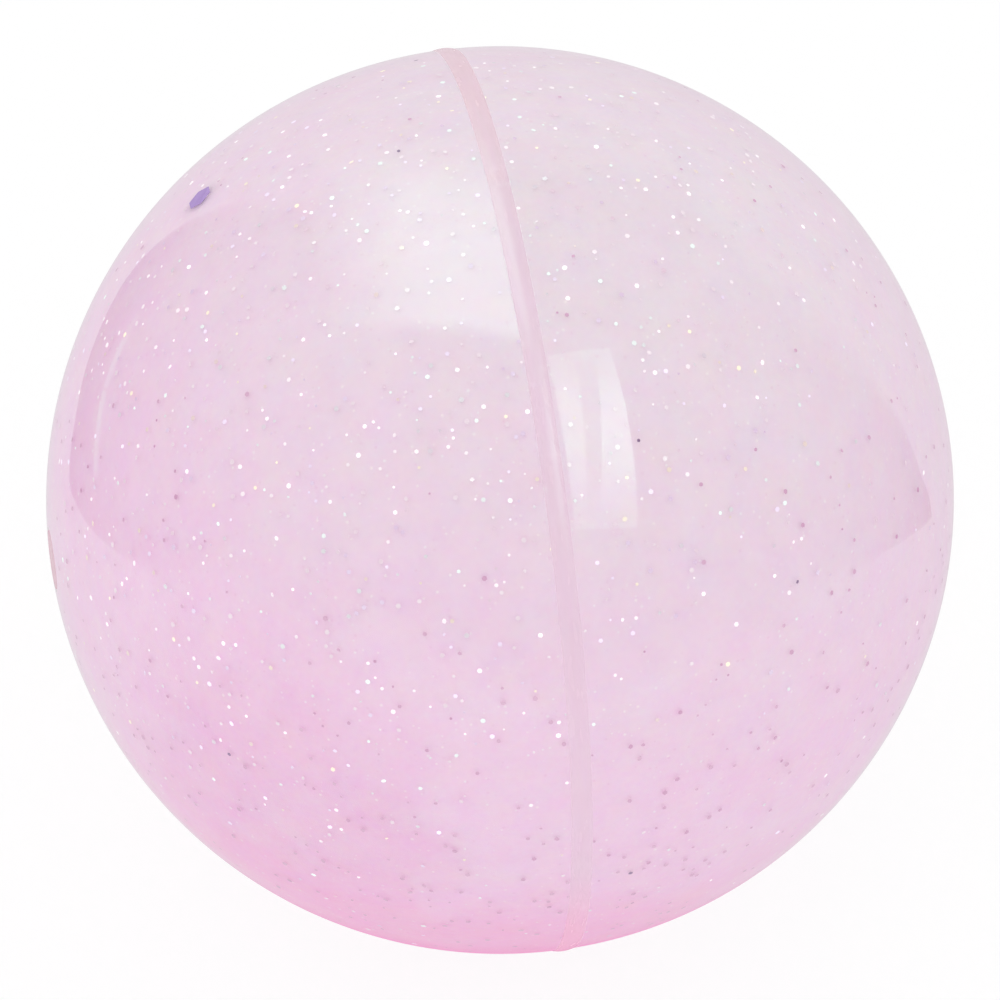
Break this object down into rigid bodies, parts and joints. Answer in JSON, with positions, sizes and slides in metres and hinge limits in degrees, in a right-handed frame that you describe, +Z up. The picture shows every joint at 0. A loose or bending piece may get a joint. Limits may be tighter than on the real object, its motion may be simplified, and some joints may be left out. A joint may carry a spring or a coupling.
{
  "type": "bouncy ball",
  "caption": "Clear pink bouncy ball of two welded half shells with a weld band, a filling plug, and liquid with hexagonal glitter that swirls inside.",
  "frame": {"origin": "centre of the ball", "axes": "+Z up, +X along the axis through both poles, from the plugged pole to the plain one; the weld lies in the YZ plane"},
  "size_m": [0.065, 0.0652, 0.0652],
  "materials": {
    "clear_wall": "gloss",
    "weld": "satin",
    "plug": "satin",
    "bond": "gloss",
    "liquid": "gloss",
    "pearl_film": "polished",
    "rose_film": "polished",
    "mint_film": "polished",
    "lilac_film": "polished",
    "gold_film": "polished",
    "violet_film": "polished",
    "sequin_film": "polished"
  },
  "bodies": {
    "shell": {"left_half_shell": "clear_wall", "right_half_shell": "clear_wall", "seam_weld": "weld", "fill_plug": "plug", "plug_bond": "bond"},
    "filling": {"glitter_liquid": "liquid", "glitter_pearl": "pearl_film", "glitter_rose": "rose_film", "glitter_mint": "mint_film", "glitter_lilac": "lilac_film", "glitter_gold": "gold_film", "glitter_violet": "violet_film", "hex_sequins": "sequin_film"}
  },
  "joints": [
    {"name": "liquid_swirl", "type": "hinge", "parent": "shell", "child": "filling", "pos_m": [0, 0, 0], "axis": [0, 0, 1], "continuous": true}
  ]
}
